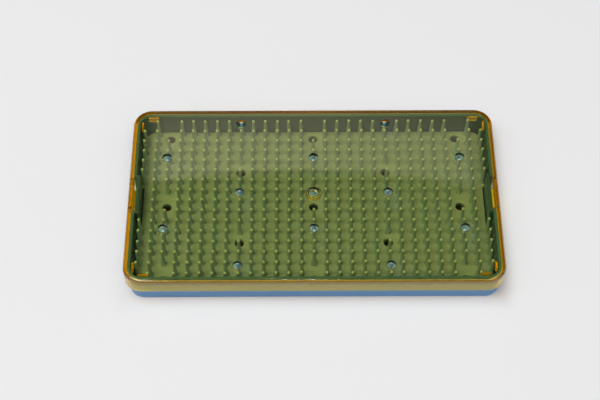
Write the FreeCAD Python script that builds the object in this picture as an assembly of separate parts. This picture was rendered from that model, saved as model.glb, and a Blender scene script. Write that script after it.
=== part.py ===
import FreeCAD, Part
import math
import os

# Plastic sterilization container for microsurgical instruments: a shallow perforated base, a silicone mat with
# rows of upright fingers, and a see-through lid whose skirt snaps over the base with a latch tongue at each end.
# Sizes are in millimetres. X runs along the tray, Y across it and Z up, with the origin on the standing surface
# under the middle of the tray.

Vector = FreeCAD.Vector
UP = Vector(0, 0, 1)
ORIGIN = Vector(0, 0, 0)

# Closed tray, outside
tray_length = 190.0
tray_width = 108.0
tray_height = 19.05

# Lid moulding
lid_corner_radius = 9.5
lid_edge_radius = 1.5
lid_plate = 1.9
lid_skirt = 1.9
lid_skirt_depth = 9.3
lid_edge_band = 4.0
lid_rib_thickness = 1.0
lid_rib_length_x = 5.4
lid_rib_length_y = 4.4
lid_rib_depth = 3.0
lid_rib_corner_inset = 3.3
lid_boss_diameter = 8.0
lid_boss_depth = 1.5
lid_dish_diameter = 6.1
lid_dish_depth = 0.65

# Base moulding
base_wall = 1.6
base_floor = 2.0
base_draft = 0.3
base_bottom_radius = 1.2
base_foot_width = 5.0
base_foot_height = 0.6

# Silicone mat
mat_thickness = 1.6
mat_corner_radius = 7.0
finger_pitch = 6.35
finger_root_diameter = 2.45
finger_tip_diameter = 1.4
finger_sides = 6

# Steam vents, staggered between lid and base, 6 finger pitches apart along the tray and 3.5 across it
vent_diameter = 4.8
vent_sides = 12
vent_column_pitch = 38.1
vent_row_pitch = 22.225
vent_edge_margin = 3.0

# Latch at each end: a tongue cut free from the lid's skirt, and the lug it snaps under
latch_width = 17.0
latch_slit = 1.1
latch_pocket_depth = 1.95
latch_pocket_margin = 0.8
latch_pocket_reach = 4.0
latch_catch_width = 12.0
latch_catch_height = 1.7
latch_catch_rise = 0.3
latch_lead_in = 0.8
lug_projection = 1.1
lug_height = 2.0
lug_land = 0.6
pocket_edge_radius = 0.8

# Clearances
lid_side_gap = 0.25
lid_seat_gap = 0.15
lid_rib_gap = 0.55
mat_seat_gap = 0.25
mat_edge_gap = 0.45
mat_pocket_gap = 0.7
finger_tip_gap = 0.4
finger_edge_gap = 0.15
latch_root_gap = 0.25
latch_pass_gap = 0.15
latch_play = 0.2
overlap = 0.5

# Levels above the standing surface
lid_underside = tray_height - lid_plate
skirt_bottom = tray_height - lid_skirt_depth
wall_top = lid_underside - lid_seat_gap
floor_top = base_foot_height + base_floor
mat_bottom = floor_top + mat_seat_gap
mat_top = mat_bottom + mat_thickness
finger_top = lid_underside - finger_tip_gap
latch_top = lid_underside - latch_root_gap
catch_bottom = skirt_bottom + latch_catch_rise
catch_top = catch_bottom + latch_catch_height
lug_bottom = catch_top + latch_play
pocket_bottom = skirt_bottom - latch_pocket_reach

# Half sizes in plan
lid_half_x = tray_length / 2
lid_half_y = tray_width / 2
skirt_inner_x = lid_half_x - lid_skirt
base_inset = lid_skirt + lid_side_gap
base_half_x = lid_half_x - base_inset
base_half_y = lid_half_y - base_inset
base_corner_radius = lid_corner_radius - base_inset
inner_half_x = base_half_x - base_wall
inner_half_y = base_half_y - base_wall
mat_half_x = inner_half_x - base_draft - mat_edge_gap
mat_half_y = inner_half_y - base_draft - mat_edge_gap
pocket_half_y = latch_width / 2 + latch_slit + latch_pocket_margin
pocket_face_x = base_half_x - latch_pocket_depth
bump_half_y = pocket_half_y + base_wall
bump_face_x = pocket_face_x - base_wall
notch_half_y = bump_half_y + mat_pocket_gap
notch_face_x = bump_face_x - mat_pocket_gap
lug_face_x = pocket_face_x + lug_projection
catch_face_x = lug_face_x + latch_pass_gap
rib_half_y = inner_half_y - lid_rib_gap
rib_half_x = inner_half_x - lid_rib_gap


def profile(corners):
    """Face in the XZ plane through (x, z, radius) corners, each corner rounded to its radius."""
    count = len(corners)
    points = [Vector(x, 0, z) for x, z, radius in corners]
    turns = []
    for i in range(count):
        to_last = (points[i - 1] - points[i]).normalize()
        to_next = (points[(i + 1) % count] - points[i]).normalize()
        radius = corners[i][2]
        half_angle = to_last.getAngle(to_next) / 2
        reach = radius / math.tan(half_angle)
        inward = (to_last + to_next).normalize()
        middle = points[i] + inward * (radius / math.sin(half_angle) - radius)
        turns.append((points[i] + to_last * reach, middle, points[i] + to_next * reach))
    edges = []
    for i in range(count):
        start, middle, end = turns[i]
        if corners[i][2] > 0:
            edges.append(Part.Arc(start, middle, end).toShape())
        edges.append(Part.makeLine(end, turns[(i + 1) % count][0]))
    return Part.Face(Part.Wire(edges))


def carried_round(section, half_x, half_y, corner_radius):
    """Ring made by carrying a section round a rectangle with round corners.

    The section's x is the distance outside the rectangle and its z is the height."""
    centre_x = half_x - corner_radius
    centre_y = half_y - corner_radius
    pieces = []
    for quarter in range(4):
        along_x = quarter % 2 == 1
        reach = half_y if along_x else half_x
        run = centre_x if along_x else centre_y
        side = section.translated(Vector(reach, -run, 0)).extrude(Vector(0, 2 * run, 0))
        corner = section.translated(Vector(corner_radius, 0, 0)).revolve(ORIGIN, UP, 90)
        corner.translate(Vector(reach - corner_radius, run, 0))
        for piece in (side, corner):
            piece.rotate(ORIGIN, UP, 90 * quarter)
            pieces.append(piece)
    return pieces[0].multiFuse(pieces[1:])


def rounded_plate(half_x, half_y, corner_radius, bottom, top):
    """Flat plate with round corners between two levels."""
    plate = Part.makeBox(2 * half_x, 2 * half_y, top - bottom, Vector(-half_x, -half_y, bottom))
    uprights = [edge for edge in plate.Edges if abs(edge.tangentAt(edge.FirstParameter).z) > 0.5]
    return plate.makeFillet(corner_radius, uprights)


def block(x_from, x_to, half_y, bottom, top):
    """Box centred across the tray."""
    return Part.makeBox(x_to - x_from, 2 * half_y, top - bottom, Vector(x_from, -half_y, bottom))


def across(section, half_y):
    """Prism of an XZ section, centred across the tray."""
    return section.translated(Vector(0, -half_y, 0)).extrude(Vector(0, 2 * half_y, 0))


def at_both_ends(piece):
    """The piece made for the right-hand end, and its copy turned to the left-hand end."""
    return [piece, piece.rotated(ORIGIN, UP, 180)]


def vent_places(parity):
    """Centres of the vents whose column and row counts add up to an even (0) or odd (1) number."""
    reach = vent_diameter / 2 + vent_edge_margin
    last_x = int((inner_half_x - reach) / vent_column_pitch)
    last_y = int((inner_half_y - reach) / vent_row_pitch)
    places = []
    for i in range(-last_x, last_x + 1):
        for j in range(-last_y, last_y + 1):
            if (i + j) % 2 == parity:
                places.append((i * vent_column_pitch, j * vent_row_pitch))
    return places


def corner_radius_of(sides, radius):
    """Distance to the corners of a regular polygon that has the area of a circle with this radius."""
    return radius * math.sqrt(2 * math.pi / (sides * math.sin(2 * math.pi / sides)))


def post(sides, bottom_radius, top_radius, bottom, top):
    """Upright flat-sided post on the Z axis, as large in section as the round one that its radii describe."""
    rings = []
    for radius, level in ((bottom_radius, bottom), (top_radius, top)):
        reach = corner_radius_of(sides, radius)
        angles = [2 * math.pi * side / sides for side in range(sides)]
        rings.append([Vector(reach * math.cos(angle), reach * math.sin(angle), level) for angle in angles])
    faces = [Part.Face(Part.makePolygon(ring + [ring[0]])) for ring in rings]
    for side in range(sides):
        after = (side + 1) % sides
        wall = [rings[0][side], rings[0][after], rings[1][after], rings[1][side], rings[0][side]]
        faces.append(Part.Face(Part.makePolygon(wall)))
    shell = Part.Shell(faces)
    shell.sewShape()
    return Part.Solid(shell)


def vents(places, bottom, top):
    """Drills for vents through everything between two levels, with few sides because there are many."""
    drill = post(vent_sides, vent_diameter / 2, vent_diameter / 2, bottom, top)
    return [drill.translated(Vector(x, y, 0)) for x, y in places]


def base_tray():
    """Blue base: drafted walls on a standing rim, a vented floor, and a latch pocket with its lug at each end."""
    wall = profile([
        (-base_draft, 0, base_bottom_radius),
        (0, wall_top, 0),
        (-base_wall, wall_top, 0),
        (-base_wall - base_draft, floor_top, 0),
        (-base_foot_width, floor_top, 0),
        (-base_foot_width, 0, 0),
    ])
    ring = carried_round(wall, base_half_x, base_half_y, base_corner_radius)
    floor_inset = base_foot_width - overlap
    floor_plate = rounded_plate(base_half_x - floor_inset, base_half_y - floor_inset,
                                base_corner_radius - floor_inset, base_foot_height, floor_top)
    bump = block(bump_face_x, base_half_x - base_wall / 2, bump_half_y, floor_top - overlap, wall_top)
    bump_edges = [edge for edge in bump.Edges
                  if abs(edge.tangentAt(edge.FirstParameter).z) > 0.5 and edge.CenterOfMass.x < pocket_face_x]
    bump = bump.makeFillet(pocket_edge_radius, bump_edges)
    tray = ring.multiFuse([floor_plate] + at_both_ends(bump))
    pocket = block(pocket_face_x, base_half_x + overlap, pocket_half_y, pocket_bottom, wall_top + overlap)
    tray = tray.cut(at_both_ends(pocket) + vents(vent_places(0), -overlap, floor_top + overlap))
    lug = across(profile([
        (pocket_face_x - overlap, lug_bottom, 0),
        (lug_face_x, lug_bottom, 0),
        (lug_face_x, lug_bottom + lug_land, 0),
        (pocket_face_x, lug_bottom + lug_height, 0),
        (pocket_face_x - overlap, lug_bottom + lug_height, 0),
    ]), latch_catch_width / 2)
    return tray.multiFuse(at_both_ends(lug)).removeSplitter()


def mat_sheet():
    """Silicone sheet on the base's floor, notched round the latch pockets, with the base's own vents."""
    sheet = rounded_plate(mat_half_x, mat_half_y, mat_corner_radius, mat_bottom, mat_top)
    notch = block(notch_face_x, mat_half_x + overlap, notch_half_y, mat_bottom - overlap, mat_top + overlap)
    drills = vents(vent_places(0), mat_bottom - overlap, mat_top + overlap)
    return sheet.cut(at_both_ends(notch) + drills).removeSplitter()


def finger_radius(height):
    """Radius of a round finger at a level above the standing surface."""
    share = (height - mat_top) / (finger_top - mat_top)
    return (finger_root_diameter + share * (finger_tip_diameter - finger_root_diameter)) / 2


def rib_outlines():
    """Plan rectangles (x from, x to, y from, y to) of the lid's two locating ribs in the corner at +X +Y."""
    end_x = rib_half_x - lid_rib_corner_inset
    end_y = rib_half_y - lid_rib_corner_inset
    along = (end_x - lid_rib_length_x, end_x, rib_half_y - lid_rib_thickness, rib_half_y)
    aside = (rib_half_x - lid_rib_thickness, rib_half_x, end_y - lid_rib_length_y, end_y)
    return [along, aside]


def finger_fits(x, y):
    """Whether a finger's root lies on the sheet, and the finger clears the vents, pockets and lid ribs."""
    x, y = abs(x), abs(y)
    root = corner_radius_of(finger_sides, finger_root_diameter / 2) + finger_edge_gap
    if x > mat_half_x - root or y > mat_half_y - root:
        return False
    past_x = x - (mat_half_x - mat_corner_radius)
    past_y = y - (mat_half_y - mat_corner_radius)
    if min(past_x, past_y) > 0 and math.hypot(past_x, past_y) > mat_corner_radius - root:
        return False
    if x > notch_face_x - root and y < notch_half_y + root:
        return False
    for vent_x, vent_y in vent_places(0):
        if math.hypot(x - vent_x, y - vent_y) < vent_diameter / 2 + root:
            return False
    beside_rib = corner_radius_of(finger_sides, finger_radius(lid_underside - lid_rib_depth)) + finger_edge_gap
    for x_from, x_to, y_from, y_to in rib_outlines():
        away_x = max(x_from - x, 0, x - x_to)
        away_y = max(y_from - y, 0, y - y_to)
        if math.hypot(away_x, away_y) < beside_rib:
            return False
    return True


def mat_fingers():
    """The mat's field of fingers, on a square pitch, wherever one fits."""
    half_columns = int(mat_half_x / finger_pitch)
    half_rows = int(mat_half_y / finger_pitch + 0.5)
    finger = post(finger_sides, finger_radius(mat_top), finger_radius(finger_top), mat_top, finger_top)
    fingers = []
    for column in range(-half_columns, half_columns + 1):
        for row in range(-half_rows, half_rows):
            x = column * finger_pitch
            y = (row + 0.5) * finger_pitch
            if finger_fits(x, y):
                fingers.append(finger.translated(Vector(x, y, 0)))
    return Part.makeCompound(fingers)


def lid():
    """Amber lid: flat vented top with a round edge, a skirt over the base, corner ribs and the centre boss."""
    edge = profile([
        (0, skirt_bottom, 0),
        (0, tray_height, lid_edge_radius),
        (-lid_edge_band, tray_height, 0),
        (-lid_edge_band, lid_underside, 0),
        (-lid_skirt, lid_underside, 0),
        (-lid_skirt, skirt_bottom, 0),
    ])
    ring = carried_round(edge, lid_half_x, lid_half_y, lid_corner_radius)
    plate_inset = lid_edge_band - overlap
    plate = rounded_plate(lid_half_x - plate_inset, lid_half_y - plate_inset,
                          lid_corner_radius - plate_inset, lid_underside, tray_height)
    rib_bottom = lid_underside - lid_rib_depth
    ribs = []
    for x_from, x_to, y_from, y_to in rib_outlines():
        rib = Part.makeBox(x_to - x_from, y_to - y_from, lid_rib_depth + overlap,
                           Vector(x_from, y_from, rib_bottom))
        other_side = rib.mirror(ORIGIN, Vector(0, 1, 0))
        ribs += at_both_ends(rib) + at_both_ends(other_side)
    boss_bottom = lid_underside - lid_boss_depth
    boss = Part.makeCylinder(lid_boss_diameter / 2, lid_boss_depth + overlap, Vector(0, 0, boss_bottom))
    cover = ring.multiFuse([plate, boss] + ribs)
    dish = post(vent_sides, vent_diameter / 2, lid_dish_diameter / 2, tray_height - lid_dish_depth, tray_height)
    window = block(skirt_inner_x - lid_side_gap / 2, lid_half_x + overlap, latch_width / 2 + latch_slit,
                   skirt_bottom - overlap, lid_underside)
    drills = vents(vent_places(1) + [(0, 0)], boss_bottom - overlap, tray_height + overlap)
    return cover.cut(drills + [dish] + at_both_ends(window)).removeSplitter()


def latch():
    """Right-hand latch tongue: a strip of the skirt with a catch inside its free lower end."""
    tongue = block(skirt_inner_x, lid_half_x, latch_width / 2, skirt_bottom, latch_top)
    catch = across(profile([
        (skirt_inner_x + overlap, catch_bottom, 0),
        (skirt_inner_x + overlap, catch_top, 0),
        (catch_face_x, catch_top, 0),
        (catch_face_x, catch_bottom + latch_lead_in, 0),
        (skirt_inner_x, catch_bottom, 0),
    ]), latch_catch_width / 2)
    return tongue.fuse(catch).removeSplitter()


def main():
    """Write one STEP file per piece."""
    os.makedirs("parts", exist_ok=True)
    latch_right, latch_left = at_both_ends(latch())
    pieces = {
        "base_tray": base_tray(),
        "mat_sheet": mat_sheet(),
        "mat_fingers": mat_fingers(),
        "lid": lid(),
        "latch_left": latch_left,
        "latch_right": latch_right,
    }
    for name, shape in pieces.items():
        shape.exportStep("parts/" + name + ".step")
        box = shape.BoundBox
        print(name, len(shape.Solids), "solids", len(shape.Faces), "faces", "valid", shape.isValid(),
              "x", round(box.XMin, 2), round(box.XMax, 2), "y", round(box.YMin, 2), round(box.YMax, 2),
              "z", round(box.ZMin, 2), round(box.ZMax, 2))


main()
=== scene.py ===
import math

import bmesh
import bpy
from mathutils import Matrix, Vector


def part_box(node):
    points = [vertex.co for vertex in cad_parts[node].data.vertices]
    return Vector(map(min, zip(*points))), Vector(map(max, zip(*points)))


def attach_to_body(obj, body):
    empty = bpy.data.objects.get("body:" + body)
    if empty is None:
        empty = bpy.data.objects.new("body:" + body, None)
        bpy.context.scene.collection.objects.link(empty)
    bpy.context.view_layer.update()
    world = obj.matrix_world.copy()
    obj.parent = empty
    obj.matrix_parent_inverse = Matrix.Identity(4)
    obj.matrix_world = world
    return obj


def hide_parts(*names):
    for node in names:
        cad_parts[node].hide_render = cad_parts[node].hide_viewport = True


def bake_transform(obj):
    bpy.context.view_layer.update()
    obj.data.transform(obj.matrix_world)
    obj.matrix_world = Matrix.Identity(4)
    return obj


# Sterilization container for microsurgical instruments, closed. A see-through amber lid snaps over a blue
# base, and between them lies a silicone mat with 430 upright fingers. Shapes are built in millimetres, with
# X along the tray, Y across it and Z up from the standing surface. Each finished piece is scaled to metres.

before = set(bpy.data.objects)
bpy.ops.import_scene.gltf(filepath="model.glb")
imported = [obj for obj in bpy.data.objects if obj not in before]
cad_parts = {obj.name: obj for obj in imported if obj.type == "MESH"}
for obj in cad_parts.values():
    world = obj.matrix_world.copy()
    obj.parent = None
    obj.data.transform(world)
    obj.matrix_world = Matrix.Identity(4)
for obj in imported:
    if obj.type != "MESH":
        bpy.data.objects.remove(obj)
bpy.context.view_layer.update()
MM = 0.001

# Upright corners are never sharper than this radius
LEAST_CORNER_RADIUS = 0.15

# Edges that turn by more than this stay crisp
CRISP_DEGREES = 32


def cad_box(node):
    """Lowest and highest corner of a CAD node, in millimetres."""
    low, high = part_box(node)
    return low / MM, high / MM


lid_low, lid_high = cad_box("lid")
base_high = cad_box("base_tray")[1]
mat_low, mat_high = cad_box("mat_sheet")
fingers_high = cad_box("mat_fingers")[1]
latch_low, latch_high = cad_box("latch_right")

# Lid moulding, in polyetherimide
LID_CORNER_RADIUS = 9.5
LID_EDGE_RADIUS = 1.5
LID_WALL = 1.9
LID_UNDERSIDE = lid_high.z - LID_WALL
LID_BOSS_RADIUS = 4.0
LID_BOSS_BOTTOM = LID_UNDERSIDE - 1.5
LID_DISH_RADIUS = 3.05
LID_DISH_DEPTH = 0.65
LID_WINDOW_INSET = 0.6

# Ribs inside the lid's corners: middle and half length along X and Y of the two in each corner
CORNER_RIBS = [(84.7, 49.2, 2.7, 0.5), (90.2, 44.2, 0.5, 2.2)]
RIB_BOTTOM = LID_UNDERSIDE - 3.0
RIB_EDGE_RADIUS = 0.42
RIB_END_INSET = 0.34
RIB_END_RADIUS = 0.32

# Haze of the amber, which is 1 on the skirt, where its diffuse yellow also paints in a glow: how far below
# the lid's underside it starts and is full, on the outer and the inner faces, then painted glow in a band
# near the top of the inner faces, and on the rib ends
HAZE_STARTS = 0.8
HAZE_FULL = 1.5
INNER_HAZE_STARTS = 0.2
INNER_HAZE_FULL = 0.5
INNER_EDGE_PAINTED_GLOW = 3.0
INNER_EDGE_TOP = 0.4
INNER_EDGE_BOTTOM = 1.0
RIB_PAINTED_GLOW = 3.5

# Base moulding, in polyphenylsulfone
BASE_CORNER_RADIUS = 7.35
BASE_WALL = 1.6
BASE_DRAFT = 0.3
BASE_TOP_ROUND = 0.35
FOOT_WIDTH = 5.0
FOOT_HEIGHT = 0.6
FLOOR_TOP = 2.6
POCKET_FACE = 90.9
POCKET_HALF_WIDTH = 10.4
POCKET_BOTTOM = 5.75
BUMP_FACE = 89.3
BUMP_BACK = 92.1
BUMP_HALF_WIDTH = 12.0

# Silicone mat
MAT_CORNER_RADIUS = 7.0
NOTCH_FACE = 88.6
NOTCH_HALF_WIDTH = 12.7
FINGER_PITCH = 6.35
FINGER_ROOT_RADIUS = 1.225
FINGER_TIP_RADIUS = 0.7
FINGER_TIP_HEIGHT = 0.4
FINGER_FLARE = 0.45
FINGER_SINK = 0.04
FINGER_LEAN_DEGREES = 0.9

# Steam vents, on the checkerboard that lid and base share between them, with the rounding of their edges
VENT_RADIUS = 2.4
VENT_COLUMN_PITCH = 38.1
VENT_ROW_PITCH = 22.225
LID_VENT_ROUND = 0.18
BASE_VENT_ROUND = 0.3
MAT_VENT_ROUND = 0.25
LID_VENTS = [(column, row) for column in range(-2, 3) for row in range(-2, 3) if (column + row) % 2 == 1]
BASE_VENTS = [(column, row) for column in range(-2, 3) for row in range(-2, 3) if (column + row) % 2 == 0]

# Latch at each end: the lid's tongue, built with close rows over its upper part, its catch, and the base's
# lug. Catch and lug are sunk into their walls a little, so that they join
LATCH_SLIT = 1.1
TONGUE_TOP_GAP = 0.02
TONGUE_ROWS = 12
TONGUE_ROW_HEIGHT = 0.3
CATCH_HALF_WIDTH = 6.0
CATCH_BOTTOM = 10.05
CATCH_TOP = 11.75
CATCH_SLOPE = 0.8
LUG_BOTTOM = 11.95
LUG_FACE = 92.0
LUG_LIP = 0.6
LUG_HEIGHT = 2.0
SUNK_IN = 0.4

# Stage: half sides of the table's patch of painted shade beneath the container, in metres
PAINTED_SHADE_HALF_X = 0.088
PAINTED_SHADE_HALF_Y = 0.047

# Lamp colours
NEUTRAL_LIGHT = (1.0, 1.0, 1.0)
WARM_LIGHT = (1.0, 0.99, 0.98)
COOL_LIGHT = (0.97, 0.98, 1.0)


def rounded_outline(half_x, half_y, radius, steps):
    """Points round a rectangle with round corners, counter-clockwise seen from above."""
    points = []
    for quarter in range(4):
        side_x = 1 if quarter in (0, 3) else -1
        side_y = 1 if quarter in (0, 1) else -1
        for step in range(steps + 1):
            angle = math.radians(90 * quarter + 90 * step / steps)
            points.append((side_x * (half_x - radius) + radius * math.cos(angle),
                           side_y * (half_y - radius) + radius * math.sin(angle)))
    return points


def rounded_path(corners, turn_step=11.25):
    """Path of (out, height) points through (out, height, radius) corners, each rounded to its radius."""
    path = []
    for index, (out, height, radius) in enumerate(corners):
        corner = Vector((out, height))
        if radius == 0 or index in (0, len(corners) - 1):
            path.append(corner)
            continue
        back = (Vector(corners[index - 1][:2]) - corner).normalized()
        ahead = (Vector(corners[index + 1][:2]) - corner).normalized()
        half_angle = back.angle(ahead) / 2
        centre = corner + (back + ahead).normalized() * radius / math.sin(half_angle)
        start = corner + back * radius / math.tan(half_angle) - centre
        end = corner + ahead * radius / math.tan(half_angle) - centre
        turn = math.pi - 2 * half_angle
        steps = max(2, round(math.degrees(turn) / turn_step))
        for step in range(steps + 1):
            share = step / steps
            arm = start * math.sin((1 - share) * turn) + end * math.sin(share * turn)
            path.append(centre + arm / math.sin(turn))
    return path


def join_rings(mesh, points):
    """Adds a closed solid through rings of points, with a flat face on the first and the last ring."""
    rings = [[mesh.verts.new(point) for point in ring] for ring in points]
    for lower, upper in zip(rings, rings[1:]):
        for i in range(len(lower)):
            j = (i + 1) % len(lower)
            mesh.faces.new((lower[i], lower[j], upper[j], upper[i]))
    mesh.faces.new(list(reversed(rings[0])))
    mesh.faces.new(rings[-1])


def add_swept(mesh, path, half_x, half_y, corner_radius, steps=14, middle=(0.0, 0.0)):
    """Adds a solid from (out, height) points: a rectangle with round corners, grown by `out` at each."""
    rings = []
    for out, height in path:
        radius = max(corner_radius + out, LEAST_CORNER_RADIUS)
        outline = rounded_outline(half_x + out, half_y + out, radius, steps)
        rings.append([(middle[0] + x, middle[1] + y, height) for x, y in outline])
    join_rings(mesh, rings)


def add_turned(mesh, path, x, y, sides=44):
    """Adds a solid turned about an upright axis through (x, y), from (radius, height) points."""
    angles = [2 * math.pi * side / sides for side in range(sides)]
    rings = []
    for radius, height in path:
        rings.append([(x + radius * math.cos(angle), y + radius * math.sin(angle), height)
                      for angle in angles])
    join_rings(mesh, rings)


def add_block(mesh, x_from, x_to, half_y, bottom, top, edge_radius):
    """Adds an upright block, centred across the tray, with rounded upright edges."""
    half_x = (x_to - x_from) / 2
    middle = ((x_from + x_to) / 2, 0.0)
    add_swept(mesh, [(0, bottom), (0, top)], half_x, half_y, edge_radius, steps=5, middle=middle)


def add_prism(mesh, corners, half_y):
    """Adds a solid with an XZ outline, centred across the tray."""
    join_rings(mesh, [[(x, y, z) for x, z in corners] for y in (-half_y, half_y)])


def vent_drill(mesh, column, row, bottom, top, edge_radius):
    """Adds the drill of one steam vent, which also rounds the vent's two edges."""
    edge = []
    for step in range(5):
        angle = math.radians(22.5 * step)
        edge.append((VENT_RADIUS + edge_radius * (1 - math.sin(angle)), edge_radius * (1 - math.cos(angle))))
    path = [(VENT_RADIUS + edge_radius, bottom - 1)]
    path += [(radius, bottom + rise) for radius, rise in edge]
    path += [(radius, top - rise) for radius, rise in reversed(edge)]
    path += [(VENT_RADIUS + edge_radius, top + 1)]
    add_turned(mesh, path, column * VENT_COLUMN_PITCH, row * VENT_ROW_PITCH)


def as_object(mesh, name):
    """Object of a finished bmesh, still in millimetres."""
    bmesh.ops.recalc_face_normals(mesh, faces=mesh.faces)
    data = bpy.data.meshes.new(name)
    mesh.to_mesh(data)
    mesh.free()
    made = bpy.data.objects.new(name, data)
    bpy.context.scene.collection.objects.link(made)
    return made


def apply_modifiers(piece):
    """Replaces a piece's mesh by what its modifiers make of it."""
    bpy.context.view_layer.update()
    graph = bpy.context.evaluated_depsgraph_get()
    result = bpy.data.meshes.new_from_object(piece.evaluated_get(graph))
    piece.modifiers.clear()
    before = piece.data
    piece.data = result
    bpy.data.meshes.remove(before)


def joined_or_cut(piece, mesh, operation):
    """Unites the piece with the solids in a bmesh, or cuts them from it."""
    tools = as_object(mesh, "boolean_tools")
    change = piece.modifiers.new("change", "BOOLEAN")
    change.operation = operation
    change.solver = "EXACT"
    change.object = tools
    apply_modifiers(piece)
    bpy.data.objects.remove(tools)


def finish_piece(piece, material):
    """Scales a piece to metres, shades its rounds smooth and its flats flat, and gives it its material."""
    for vertex in piece.data.vertices:
        vertex.co *= MM
    piece.data.shade_smooth()
    piece.data.set_sharp_from_angle(angle=math.radians(CRISP_DEGREES))
    flats = piece.modifiers.new("flats", "WEIGHTED_NORMAL")
    flats.keep_sharp = True
    apply_modifiers(piece)
    piece.data.materials.clear()
    piece.data.materials.append(material)
    return piece


# Shader helpers

def linear(code):
    """Scene-linear colour of an sRGB hex code."""
    shares = [int(code[i:i + 2], 16) / 255 for i in (1, 3, 5)]
    return tuple(c / 12.92 if c <= 0.04045 else ((c + 0.055) / 1.055) ** 2.4 for c in shares) + (1.0,)


def add(tree, kind, inputs=None, **settings):
    """Adds a node with its settings and inputs. A node given as an input stands for its first output."""
    node = tree.nodes.new(kind)
    for key, value in settings.items():
        setattr(node, key, value)
    for key, value in (inputs or {}).items():
        if isinstance(value, bpy.types.Node):
            value = value.outputs[0]
        if isinstance(value, bpy.types.NodeSocket):
            tree.links.new(value, node.inputs[key])
        else:
            node.inputs[key].default_value = value
    return node


def new_material(name):
    """Empty node material and its node tree."""
    material = bpy.data.materials.new(name)
    material.use_nodes = True
    material.node_tree.nodes.clear()
    return material, material.node_tree


def fine_bump(tree, grain_mm, height_mm, detail=3.0):
    """Normal of a moulded surface: a faint noise in object space, its grain and height in millimetres."""
    place = add(tree, "ShaderNodeTexCoord").outputs["Object"]
    grain = add(tree, "ShaderNodeTexNoise", {
        "Vector": place,
        "Scale": 1 / (grain_mm * MM),
        "Detail": detail,
        "Roughness": 0.55,
    }).outputs["Fac"]
    bump = add(tree, "ShaderNodeBump", {"Height": grain, "Distance": height_mm * MM, "Strength": 1.0})
    return bump.outputs["Normal"]


def seen_rays(tree):
    """1 for rays that show a thing, straight, mirrored or through a clear piece, and 0 for all others."""
    path = add(tree, "ShaderNodeLightPath").outputs
    mirrored = add(tree, "ShaderNodeMath", {0: path["Is Glossy Ray"], 1: path["Is Transmission Ray"]},
                   operation="MAXIMUM")
    return add(tree, "ShaderNodeMath", {0: path["Is Camera Ray"], 1: mirrored}, operation="MAXIMUM")


# Materials

def amber_polyetherimide():
    """Clear amber polyetherimide, moulded. It absorbs, so long paths glow orange. Its skirt is hazy, which
    also paints a yellow glow there, and the rib ends and a band near the top of the inner faces get a
    brighter painted glow.
    """
    material, tree = new_material("amber_polyetherimide")
    # Hazy places take a yellow diffuse part: frost on the skirt that also paints in a glow, and painted glow
    # on the rib ends and a band near the top of the inner faces
    haze_and_painted_glow = add(tree, "ShaderNodeAttribute", attribute_name="haze_and_painted_glow").outputs["Fac"]
    frost_and_painted_glow_tint = add(tree, "ShaderNodeMix", {0: haze_and_painted_glow, 6: linear("#FFFFFF"), 7: linear("#FFF989")},
               data_type="RGBA")
    clarity = add(tree, "ShaderNodeMapRange", {"Value": haze_and_painted_glow, "To Min": 1.0, "To Max": 0.82}, clamp=False)
    clear = add(tree, "ShaderNodeBsdfPrincipled", {
        "Base Color": frost_and_painted_glow_tint.outputs[2],
        "Roughness": 0.02,
        "IOR": 1.65,
        "Transmission Weight": clarity,
        "Normal": fine_bump(tree, 11.1, 0.003, 1.0),
    })
    # Light that falls through passes the faces straight and a little stronger, in place of caustics
    straight = add(tree, "ShaderNodeBsdfTransparent", {"Color": (1.1, 1.1, 1.1, 1.0)})
    path = add(tree, "ShaderNodeLightPath")
    surface = add(tree, "ShaderNodeMixShader", {0: path.outputs["Is Shadow Ray"], 1: clear, 2: straight})
    body = add(tree, "ShaderNodeVolumeAbsorption", {"Color": linear("#FAE700"), "Density": 500.0})
    add(tree, "ShaderNodeOutputMaterial", {"Surface": surface, "Volume": body})
    return material


def blue_polyphenylsulfone():
    """Opaque blue polyphenylsulfone, moulded with a satin grain. Inside the tray it is painted a darker
    blue, as painted shade.
    """
    material, tree = new_material("blue_polyphenylsulfone")
    place = add(tree, "ShaderNodeTexCoord").outputs["Object"]
    away = add(tree, "ShaderNodeVectorMath", {0: place}, operation="ABSOLUTE")
    corner = ((base_high.x - BASE_CORNER_RADIUS) * MM, (base_high.y - BASE_CORNER_RADIUS) * MM, 1.0)
    past = add(tree, "ShaderNodeVectorMath", {0: away, 1: corner}, operation="SUBTRACT")
    past = add(tree, "ShaderNodeVectorMath", {0: past, 1: (0.0, 0.0, 0.0)}, operation="MAXIMUM")
    radius = add(tree, "ShaderNodeVectorMath", {0: past}, operation="LENGTH").outputs["Value"]
    # Painted shade: within the walls' inner outline the blue is painted darker than outside
    inner_radius = BASE_CORNER_RADIUS - BASE_WALL
    inside = add(tree, "ShaderNodeMapRange", {
        "Value": radius,
        "From Min": inner_radius * MM,
        "From Max": (inner_radius + 0.4) * MM,
        "To Min": 1.0,
        "To Max": 0.0,
    })
    blue_and_painted_shade = add(tree, "ShaderNodeMix", {0: inside, 6: linear("#4A84B8"), 7: linear("#3A6890")},
                data_type="RGBA")
    shell = add(tree, "ShaderNodeBsdfPrincipled", {
        "Base Color": blue_and_painted_shade.outputs[2],
        "Roughness": 0.3,
        "IOR": 1.65,
        "Normal": fine_bump(tree, 0.4, 0.01),
    })
    add(tree, "ShaderNodeOutputMaterial", {"Surface": shell})
    return material


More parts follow.
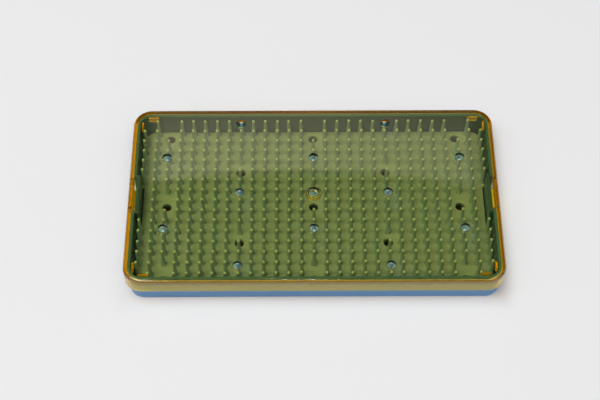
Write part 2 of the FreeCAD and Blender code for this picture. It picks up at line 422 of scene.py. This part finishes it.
def teal_silicone():
    """Translucent blue-green silicone rubber, moulded matt. Its stems are coloured bluer, and their tips
    paler as a painted highlight for light from above.
    """
    material, tree = new_material("teal_silicone")
    place = add(tree, "ShaderNodeSeparateXYZ", {0: add(tree, "ShaderNodeTexCoord").outputs["Object"]})
    colour = linear("#93BCDA")
    # Colour by height: bluer from just above the sheet up the stems, and paler on the tips as painted
    # highlight
    for starts, full, code in ((mat_high.z + 0.1, mat_high.z + 2.0, "#7CAAD4"),
                               (fingers_high.z - 1.5, fingers_high.z - 0.4, "#B5E7FF")):
        share = add(tree, "ShaderNodeMapRange", {
            "Value": place.outputs["Z"],
            "From Min": starts * MM,
            "From Max": full * MM,
        }, interpolation_type="SMOOTHSTEP")
        mixed = add(tree, "ShaderNodeMix", {0: share, 6: colour, 7: linear(code)}, data_type="RGBA")
        colour = mixed.outputs[2]
    rubber = add(tree, "ShaderNodeBsdfPrincipled", {
        "Base Color": colour,
        "Roughness": 0.5,
        "IOR": 1.41,
        "Subsurface Weight": 0.3,
        "Subsurface Radius": (1.0, 1.3, 1.2),
        "Subsurface Scale": 0.0004,
        "Normal": fine_bump(tree, 0.555, 0.01),
    })
    add(tree, "ShaderNodeOutputMaterial", {"Surface": rubber})
    return material


def white_table():
    """Matt white table of the studio, painted near-black beneath the container as painted shade."""
    material, tree = new_material("white_table")
    place = add(tree, "ShaderNodeSeparateXYZ", {0: add(tree, "ShaderNodeTexCoord").outputs["Object"]})
    beyond = []
    for axis, half in (("X", PAINTED_SHADE_HALF_X), ("Y", PAINTED_SHADE_HALF_Y)):
        away = add(tree, "ShaderNodeMath", {0: place.outputs[axis]}, operation="ABSOLUTE")
        beyond.append(add(tree, "ShaderNodeMath", {0: away, 1: half}, operation="SUBTRACT"))
    distance = add(tree, "ShaderNodeMath", {0: beyond[0], 1: beyond[1]}, operation="MAXIMUM")
    # Painted shade: within the container's outline the table is painted near-black
    in_painted_shade = add(tree, "ShaderNodeMath", {0: distance, 1: 0.0}, operation="LESS_THAN")
    colour = add(tree, "ShaderNodeMix", {0: in_painted_shade, 6: linear("#F2F2F2"), 7: linear("#2A2A2A")},
                 data_type="RGBA")
    top = add(tree, "ShaderNodeBsdfPrincipled", {"Base Color": colour.outputs[2], "Roughness": 0.9})
    # Where the open table is seen it is lifted towards one near-white tone, which lights nothing
    pale = add(tree, "ShaderNodeEmission", {"Color": linear("#F3F3F4"), "Strength": 1.0})
    lift = add(tree, "ShaderNodeMapRange", {
        "Value": distance,
        "From Min": 0.003,
        "From Max": 0.016,
        "To Min": 0.0,
        "To Max": 0.6,
    }, interpolation_type="SMOOTHSTEP")
    share = add(tree, "ShaderNodeMath", {0: lift, 1: seen_rays(tree)}, operation="MULTIPLY")
    both = add(tree, "ShaderNodeMixShader", {0: share, 1: top, 2: pale})
    add(tree, "ShaderNodeOutputMaterial", {"Surface": both})
    return material


amber = amber_polyetherimide()
blue = blue_polyphenylsulfone()
silicone = teal_silicone()


# Base tray

def base_tray():
    """Blue base: standing rim, drafted walls with round edges, vented floor, latch pockets and lugs."""
    mesh = bmesh.new()
    floor_edge = 6.9
    section = rounded_path([
        (-floor_edge, FOOT_HEIGHT, 0),
        (-FOOT_WIDTH, FOOT_HEIGHT, 0.2),
        (-FOOT_WIDTH, 0, 0.25),
        (-BASE_DRAFT, 0, 1.2),
        (0, base_high.z, BASE_TOP_ROUND),
        (-BASE_WALL, base_high.z, BASE_TOP_ROUND),
        (-BASE_WALL - BASE_DRAFT, FLOOR_TOP, 0.8),
        (-floor_edge, FLOOR_TOP, 0),
    ])
    add_swept(mesh, section, base_high.x, base_high.y, BASE_CORNER_RADIUS)
    tray = as_object(mesh, "base_tray_looks")
    bumps = bmesh.new()
    for end in (-1, 1):
        middle = (end * (BUMP_FACE + BUMP_BACK) / 2, 0)
        block = rounded_path([(-0.6, FLOOR_TOP - 0.5, 0), (0, FLOOR_TOP - 0.5, 0),
                              (0, base_high.z, BASE_TOP_ROUND), (-0.6, base_high.z, 0)])
        add_swept(bumps, block, (BUMP_BACK - BUMP_FACE) / 2, BUMP_HALF_WIDTH, 0.8, steps=6, middle=middle)
    joined_or_cut(tray, bumps, "UNION")
    cuts = bmesh.new()
    for end in (-1, 1):
        x_from, x_to = sorted((end * POCKET_FACE, end * (base_high.x + 2)))
        add_block(cuts, x_from, x_to, POCKET_HALF_WIDTH, POCKET_BOTTOM, base_high.z + 1, 0.5)
    for column, row in BASE_VENTS:
        vent_drill(cuts, column, row, FOOT_HEIGHT, FLOOR_TOP, BASE_VENT_ROUND)
    joined_or_cut(tray, cuts, "DIFFERENCE")
    lugs = bmesh.new()
    lug_back = POCKET_FACE - SUNK_IN
    lug_top = LUG_BOTTOM + LUG_HEIGHT
    corners = [(lug_back, LUG_BOTTOM), (LUG_FACE, LUG_BOTTOM), (LUG_FACE, LUG_BOTTOM + LUG_LIP),
               (POCKET_FACE, lug_top), (lug_back, lug_top)]
    for end in (-1, 1):
        add_prism(lugs, [(end * x, z) for x, z in corners], CATCH_HALF_WIDTH)
    joined_or_cut(tray, lugs, "UNION")
    return finish_piece(tray, blue)


# Silicone mat

def mat_sheet():
    """Silicone sheet, notched round the latch pockets, with the base's vents."""
    mesh = bmesh.new()
    flat_edge = 4.0
    section = rounded_path([
        (-flat_edge, mat_low.z, 0),
        (0, mat_low.z, 0.25),
        (0, mat_high.z, 0.35),
        (-flat_edge, mat_high.z, 0),
    ])
    add_swept(mesh, section, mat_high.x, mat_high.y, MAT_CORNER_RADIUS)
    sheet = as_object(mesh, "mat_sheet_looks")
    cuts = bmesh.new()
    for end in (-1, 1):
        x_from, x_to = sorted((end * NOTCH_FACE, end * (mat_high.x + 2)))
        add_block(cuts, x_from, x_to, NOTCH_HALF_WIDTH, mat_low.z - 1, mat_high.z + 1, 0.8)
    for column, row in BASE_VENTS:
        vent_drill(cuts, column, row, mat_low.z, mat_high.z, MAT_VENT_ROUND)
    joined_or_cut(sheet, cuts, "DIFFERENCE")
    return finish_piece(sheet, silicone)


def finger_feet():
    """Foot points of the fingers, on the CAD field's own grid, in metres."""
    places = set()
    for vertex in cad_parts["mat_fingers"].data.vertices:
        x, y = vertex.co.xy / MM
        places.add((round(x / FINGER_PITCH) * FINGER_PITCH,
                    (math.floor(y / FINGER_PITCH) + 0.5) * FINGER_PITCH))
    return [(x * MM, y * MM, (mat_high.z - FINGER_SINK) * MM) for x, y in sorted(places)]


def finger_tree():
    """Geometry nodes: one round-tipped tapered finger with a flared foot, set on every foot point."""
    tree = bpy.data.node_groups.new("silicone_fingers", "GeometryNodeTree")
    side = tree.interface.new_socket
    side("Feet", in_out="INPUT", socket_type="NodeSocketGeometry")
    for name in ("Height", "Root Radius", "Tip Radius", "Tip Height", "Flare", "Lean"):
        side(name, in_out="INPUT", socket_type="NodeSocketFloat")
    side("Seed", in_out="INPUT", socket_type="NodeSocketInt")
    side("Material", in_out="INPUT", socket_type="NodeSocketMaterial")
    side("Fingers", in_out="OUTPUT", socket_type="NodeSocketGeometry")
    given = add(tree, "NodeGroupInput").outputs
    sides = 12
    merge_distance = 0.00002
    tip_radius = given["Tip Radius"]
    tip_height = given["Tip Height"]
    flare_radius = add(tree, "ShaderNodeMath", {0: given["Root Radius"], 1: given["Flare"]}, operation="ADD")
    tip_foot = add(tree, "ShaderNodeMath", {0: given["Height"], 1: tip_height}, operation="SUBTRACT")
    stem_height = add(tree, "ShaderNodeMath", {0: tip_foot, 1: given["Flare"]}, operation="SUBTRACT")
    flatness = add(tree, "ShaderNodeMath", {0: tip_height, 1: tip_radius}, operation="DIVIDE")
    foot = add(tree, "GeometryNodeMeshCircle", {"Vertices": sides, "Radius": flare_radius}, fill_type="NGON")
    foot = add(tree, "GeometryNodeFlipFaces", {"Mesh": foot})
    flare = add(tree, "GeometryNodeMeshCone", {
        "Vertices": sides,
        "Radius Top": given["Root Radius"],
        "Radius Bottom": flare_radius,
        "Depth": given["Flare"],
    }, fill_type="NONE")
    stem = add(tree, "GeometryNodeMeshCone", {
        "Vertices": sides,
        "Radius Top": tip_radius,
        "Radius Bottom": given["Root Radius"],
        "Depth": stem_height,
    }, fill_type="NONE")
    # The tip is the upper half of a ball, made flatter
    ball = add(tree, "GeometryNodeMeshUVSphere", {"Segments": sides, "Rings": 8, "Radius": tip_radius})
    height = add(tree, "ShaderNodeSeparateXYZ", {0: add(tree, "GeometryNodeInputPosition")}).outputs["Z"]
    below = add(tree, "FunctionNodeCompare", {"A": height, "B": -merge_distance / 2}, operation="LESS_THAN")
    dome = add(tree, "GeometryNodeDeleteGeometry", {"Geometry": ball, "Selection": below})
    flatter = add(tree, "ShaderNodeCombineXYZ", {"X": 1.0, "Y": 1.0, "Z": flatness})
    dome = add(tree, "GeometryNodeTransform", {"Geometry": dome, "Scale": flatter})
    parts = add(tree, "GeometryNodeJoinGeometry")
    for part, bottom in ((foot, 0.0), (flare, 0.0), (stem, given["Flare"]), (dome, tip_foot)):
        up = add(tree, "ShaderNodeCombineXYZ", {"Z": bottom})
        part = add(tree, "GeometryNodeTransform", {"Geometry": part, "Translation": up})
        tree.links.new(part.outputs[0], parts.inputs[0])
    finger = add(tree, "GeometryNodeMergeByDistance", {"Geometry": parts, "Distance": merge_distance})
    finger = add(tree, "GeometryNodeSetShadeSmooth", {"Geometry": finger})
    # Each finger leans a little in X and Y, and is turned about itself by up to half a turn
    back = add(tree, "ShaderNodeMath", {0: given["Lean"], 1: -1.0}, operation="MULTIPLY")
    least = add(tree, "ShaderNodeCombineXYZ", {"X": back, "Y": back})
    most = add(tree, "ShaderNodeCombineXYZ", {"X": given["Lean"], "Y": given["Lean"], "Z": 3.1})
    lean = add(tree, "FunctionNodeRandomValue", {"Min": least, "Max": most, "Seed": given["Seed"]},
               data_type="FLOAT_VECTOR")
    field = add(tree, "GeometryNodeInstanceOnPoints", {"Points": given["Feet"], "Instance": finger,
                                                       "Rotation": lean})
    solid = add(tree, "GeometryNodeRealizeInstances", {"Geometry": field})
    solid = add(tree, "GeometryNodeSetMaterial", {"Geometry": solid, "Material": given["Material"]})
    add(tree, "NodeGroupOutput", {"Fingers": solid})
    return tree


def mat_fingers():
    """The mat's field of fingers, made by geometry nodes and kept as a plain mesh."""
    data = bpy.data.meshes.new("mat_fingers_looks")
    data.from_pydata(finger_feet(), [], [])
    field = bpy.data.objects.new("mat_fingers_looks", data)
    bpy.context.scene.collection.objects.link(field)
    tree = finger_tree()
    grow = field.modifiers.new("fingers", "NODES")
    grow.node_group = tree
    values = {
        "Height": (fingers_high.z - mat_high.z + FINGER_SINK) * MM,
        "Root Radius": FINGER_ROOT_RADIUS * MM,
        "Tip Radius": FINGER_TIP_RADIUS * MM,
        "Tip Height": FINGER_TIP_HEIGHT * MM,
        "Flare": FINGER_FLARE * MM,
        "Lean": math.radians(FINGER_LEAN_DEGREES),
        "Seed": 7,
        "Material": silicone,
    }
    for item in tree.interface.items_tree:
        if item.in_out == "INPUT" and item.name in values:
            grow[item.identifier] = values[item.name]
    apply_modifiers(field)
    return field


# Lid and latch tongues

def haze_and_painted_glow_at(x, y, z):
    """Haze of the amber at a point: none on the top and the boss, 1 on the skirt, where it also paints a
    glow, and more as painted glow on the rib ends and a band near the top of the inner faces.
    """
    depth = LID_UNDERSIDE - z
    to_corner = math.hypot(max(abs(x) - lid_high.x + LID_CORNER_RADIUS, 0.0),
                           max(abs(y) - lid_high.y + LID_CORNER_RADIUS, 0.0))
    inner_face = to_corner < LID_CORNER_RADIUS - LID_WALL / 2
    well_inside = abs(x) < lid_high.x - LID_WALL - 0.5 and abs(y) < lid_high.y - LID_WALL - 0.5
    # Painted glow on the rib ends
    if well_inside and RIB_BOTTOM - 0.05 < z < RIB_BOTTOM + 0.4:
        return RIB_PAINTED_GLOW
    if math.hypot(x, y) < 2 * LID_BOSS_RADIUS:
        return 0.0
    # Painted glow in a band near the top of the inner faces
    if inner_face and INNER_EDGE_TOP < depth < INNER_EDGE_BOTTOM:
        return INNER_EDGE_PAINTED_GLOW
    starts, full = (INNER_HAZE_STARTS, INNER_HAZE_FULL) if inner_face else (HAZE_STARTS, HAZE_FULL)
    return min(max((depth - starts) / (full - starts), 0.0), 1.0)


def store_haze_and_painted_glow(piece):
    """Stores the frost and painted glow of each point of an amber moulding with its mesh, so that it moves
    with the piece.
    """
    haze_and_painted_glow = piece.data.attributes.new("haze_and_painted_glow", "FLOAT", "POINT")
    for vertex in piece.data.vertices:
        haze_and_painted_glow.data[vertex.index].value = haze_and_painted_glow_at(*(vertex.co / MM))
    return piece


def lid():
    """Amber lid: flat vented top with a round edge, skirt, corner ribs, centre boss and latch windows."""
    mesh = bmesh.new()
    flat_edge = 5.0
    section = rounded_path([
        (-flat_edge, LID_UNDERSIDE, 0),
        (-LID_WALL, LID_UNDERSIDE, 0.5),
        (-LID_WALL, LID_UNDERSIDE - HAZE_STARTS, 0),
        (-LID_WALL, LID_UNDERSIDE - HAZE_FULL, 0),
        (-LID_WALL, lid_low.z, 0.3),
        (0, lid_low.z, 0.5),
        (0, LID_UNDERSIDE - HAZE_FULL, 0),
        (0, LID_UNDERSIDE - HAZE_STARTS, 0),
        (0, lid_high.z, LID_EDGE_RADIUS),
        (-flat_edge, lid_high.z, 0),
    ], 9)
    add_swept(mesh, section, lid_high.x, lid_high.y, LID_CORNER_RADIUS, steps=18)
    cover = as_object(mesh, "lid_looks")
    extras = bmesh.new()
    in_the_top = LID_UNDERSIDE + 0.5
    boss = rounded_path([(1.0, LID_BOSS_BOTTOM, 0), (LID_BOSS_RADIUS, LID_BOSS_BOTTOM, 0.4),
                         (LID_BOSS_RADIUS, in_the_top, 0), (1.0, in_the_top, 0)])
    add_turned(extras, boss, 0, 0)
    rib = rounded_path([(-RIB_END_INSET, RIB_BOTTOM, 0), (0, RIB_BOTTOM, RIB_END_RADIUS), (0, in_the_top, 0),
                        (-RIB_END_INSET, in_the_top, 0)])
    for side_x in (-1, 1):
        for side_y in (-1, 1):
            for x, y, half_x, half_y in CORNER_RIBS:
                middle = (side_x * x, side_y * y)
                add_swept(extras, rib, half_x, half_y, RIB_EDGE_RADIUS, steps=5, middle=middle)
    joined_or_cut(cover, extras, "UNION")
    cuts = bmesh.new()
    for column, row in LID_VENTS:
        vent_drill(cuts, column, row, LID_UNDERSIDE, lid_high.z, LID_VENT_ROUND)
    dish_bottom = lid_high.z - LID_DISH_DEPTH
    centre = [
        (VENT_RADIUS + 0.3, LID_BOSS_BOTTOM - 1),
        (VENT_RADIUS + 0.3, LID_BOSS_BOTTOM),
        (VENT_RADIUS, LID_BOSS_BOTTOM + 0.3),
        (VENT_RADIUS, dish_bottom - 0.1),
        (VENT_RADIUS + 0.05, dish_bottom),
        (LID_DISH_RADIUS, lid_high.z),
        (LID_DISH_RADIUS, lid_high.z + 1),
    ]
    add_turned(cuts, centre, 0, 0)
    window_half_width = latch_high.y + LATCH_SLIT
    for end in (-1, 1):
        x_from, x_to = sorted((end * (latch_low.x - LID_WINDOW_INSET), end * (lid_high.x + 1)))
        add_block(cuts, x_from, x_to, window_half_width, lid_low.z - 1, LID_UNDERSIDE, LEAST_CORNER_RADIUS)
    joined_or_cut(cover, cuts, "DIFFERENCE")
    return store_haze_and_painted_glow(finish_piece(cover, amber))


def latch(name, end):
    """Latch tongue: a strip of the skirt with a catch inside its lower end, and close rows at its root."""
    mesh = bmesh.new()
    half_wall = LID_WALL / 2
    heights = [LID_UNDERSIDE - TONGUE_TOP_GAP - TONGUE_ROW_HEIGHT * row for row in range(TONGUE_ROWS)]
    rows = [(0, height) for height in reversed(heights)]
    foot = rounded_path([(-0.7, lid_low.z, 0), (0, lid_low.z, 0.4), (0, heights[-1], 0)])
    top = [(-0.6, heights[0])]
    middle = (end * (lid_high.x - half_wall), 0)
    add_swept(mesh, foot[:-1] + rows + top, half_wall, latch_high.y, 0.75, steps=5, middle=middle)
    tongue = as_object(mesh, name)
    catch = bmesh.new()
    inside = lid_high.x - LID_WALL
    corners = [(inside + SUNK_IN, CATCH_BOTTOM), (inside + SUNK_IN, CATCH_TOP), (latch_low.x, CATCH_TOP),
               (latch_low.x, CATCH_BOTTOM + CATCH_SLOPE), (inside, CATCH_BOTTOM)]
    add_prism(catch, [(end * x, z) for x, z in corners], CATCH_HALF_WIDTH)
    joined_or_cut(tongue, catch, "UNION")
    return store_haze_and_painted_glow(finish_piece(tongue, amber))


def attach():
    """Builds every piece, ties all but the latch tongues to their CAD bodies, and hides the CAD nodes that
    they stand for.
    """
    for piece, body, node, slot in (
            (base_tray(), "base", "base_tray", "blue_plastic"),
            (mat_sheet(), "finger_mat", "mat_sheet", "silicone"),
            (mat_fingers(), "finger_mat", "mat_fingers", "silicone"),
            (lid(), "lid", "lid", "amber_plastic")):
        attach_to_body(piece, body)
        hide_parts(node)
    for end, node in ((-1, "latch_left"), (1, "latch_right")):
        tongue = latch(node + "_looks", end)
        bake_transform(tongue)
        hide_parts(node)


attach()


# Stage, light and camera

def table():
    """White table that the container stands on."""
    mesh = bmesh.new()
    bmesh.ops.create_grid(mesh, x_segments=1, y_segments=1, size=4.0)
    floor = as_object(mesh, "table")
    floor.data.materials.append(white_table())


def soft_world():
    """Dim studio room: pale side walls, a window on the right, and a pale panel that the lid mirrors."""
    world = bpy.data.worlds.new("studio")
    world.use_nodes = True
    tree = world.node_tree
    tree.nodes.clear()
    # The way is a direction of length 1, so its Z is 0 at the horizon, 0.78 at 51 degrees up and 1 overhead
    way = add(tree, "ShaderNodeSeparateXYZ", {0: add(tree, "ShaderNodeTexCoord").outputs["Generated"]})
    x, y, z = [way.outputs[axis] for axis in "XYZ"]
    aside = add(tree, "ShaderNodeMath", {0: x}, operation="ABSOLUTE")
    from_middle = add(tree, "ShaderNodeMath", {0: x, 1: 0.01}, operation="SUBTRACT")
    from_middle = add(tree, "ShaderNodeMath", {0: from_middle}, operation="ABSOLUTE")
    # Each light is a product of fades: what it follows, where it starts and ends, and its levels there
    panel = [(y, 0.3, 0.5, 0.0, 1.0), (z, 0.76, 0.79, 0.0, 1.0), (z, 0.8025, 0.8075, 1.0, 0.0),
             (from_middle, 0.102, 0.122, 1.0, 0.0), (x, -0.15, 0.15, 0.85, 0.55)]
    side_walls = [(aside, 0.12, 0.35, 0.0, 1.0), (y, 0.15, 0.45, 1.0, 0.0), (z, 0.7, 0.8, 0.25, 0.0)]
    window = [(x, 0.7, 0.85, 0.0, 1.5), (z, 0.15, 0.3, 1.0, 0.0)]
    near_horizon = [(z, 0.08, 0.12, 1.0, 0.0)]
    products = []
    for fades in (panel, side_walls, window, near_horizon):
        product = 1.0
        for value, start, end, first, last in fades:
            fade = add(tree, "ShaderNodeMapRange", {
                "Value": value,
                "From Min": start,
                "From Max": end,
                "To Min": first,
                "To Max": last,
            }, interpolation_type="SMOOTHSTEP")
            product = add(tree, "ShaderNodeMath", {0: product, 1: fade}, operation="MULTIPLY")
        products.append(product)
    level = add(tree, "ShaderNodeMath", {0: products[0], 1: products[1]}, operation="ADD")
    level = add(tree, "ShaderNodeMath", {0: level, 1: products[2]}, operation="ADD")
    light = add(tree, "ShaderNodeBackground", {"Color": linear("#F8F9FC"), "Strength": level})
    # The camera sees a plain pale backdrop, and so do mirrored and see-through rays near the horizon
    shown = add(tree, "ShaderNodeBackground", {"Color": linear("#E9E9E9"), "Strength": 1.0})
    backdrop = add(tree, "ShaderNodeMath", {0: seen_rays(tree), 1: products[3]}, operation="MULTIPLY")
    path = add(tree, "ShaderNodeLightPath").outputs
    pale = add(tree, "ShaderNodeMath", {0: path["Is Camera Ray"], 1: backdrop}, operation="MAXIMUM")
    both = add(tree, "ShaderNodeMixShader", {0: pale, 1: light, 2: shown})
    add(tree, "ShaderNodeOutputWorld", {"Surface": both})
    bpy.context.scene.world = world


def lamp(name, place, size, energy, colour):
    """Level oblong soft lamp that faces down, with its place and size in metres and its energy in watts."""
    light = bpy.data.lights.new(name, "AREA")
    light.shape = "RECTANGLE"
    light.size, light.size_y = size
    light.energy = energy
    light.color = colour
    made = bpy.data.objects.new(name, light)
    made.location = place
    bpy.context.scene.collection.objects.link(made)


def lamps():
    """A large soft box on the left, weaker ones at both sides and in front, and a small lamp for glints."""
    lamp("main_box", (-0.7, -0.6, 2.0), (0.8, 2.4), 28.0, WARM_LIGHT)
    lamp("left_box", (-1.75, -0.5, 2.0), (1.3, 0.8), 14.0, WARM_LIGHT)
    lamp("right_box", (1.75, -0.2, 2.0), (2.1, 0.8), 7.0, COOL_LIGHT)
    lamp("front_right_box", (1.7, -2.3, 2.0), (2.2, 1.0), 20.0, COOL_LIGHT)
    lamp("front_left_box", (-1.95, -2.3, 2.0), (1.7, 1.0), 13.0, WARM_LIGHT)
    lamp("ceiling_lamp", (0.0, 0.05, 1.6), (0.11, 0.11), 1.2, NEUTRAL_LIGHT)


def camera():
    """Camera in front of the container, looking down at 55 degrees."""
    lens = bpy.data.cameras.new("camera")
    lens.lens = 86.11
    lens.sensor_width = 36.0
    lens.clip_start = 0.01
    eye = bpy.data.objects.new("camera", lens)
    eye.location = (-0.00721, -0.42747, 0.61716)
    eye.rotation_euler = (math.radians(35.2218), math.radians(0.1117), math.radians(-0.1822))
    bpy.context.scene.collection.objects.link(eye)
    bpy.context.scene.camera = eye


table()
soft_world()
lamps()
camera()
scene = bpy.context.scene
scene.view_settings.view_transform = "Standard"
scene.cycles.use_denoising = True
# Caustics would only add bright specks. The amber's own shadow rays stand for them
scene.cycles.caustics_refractive = False
scene.cycles.caustics_reflective = False
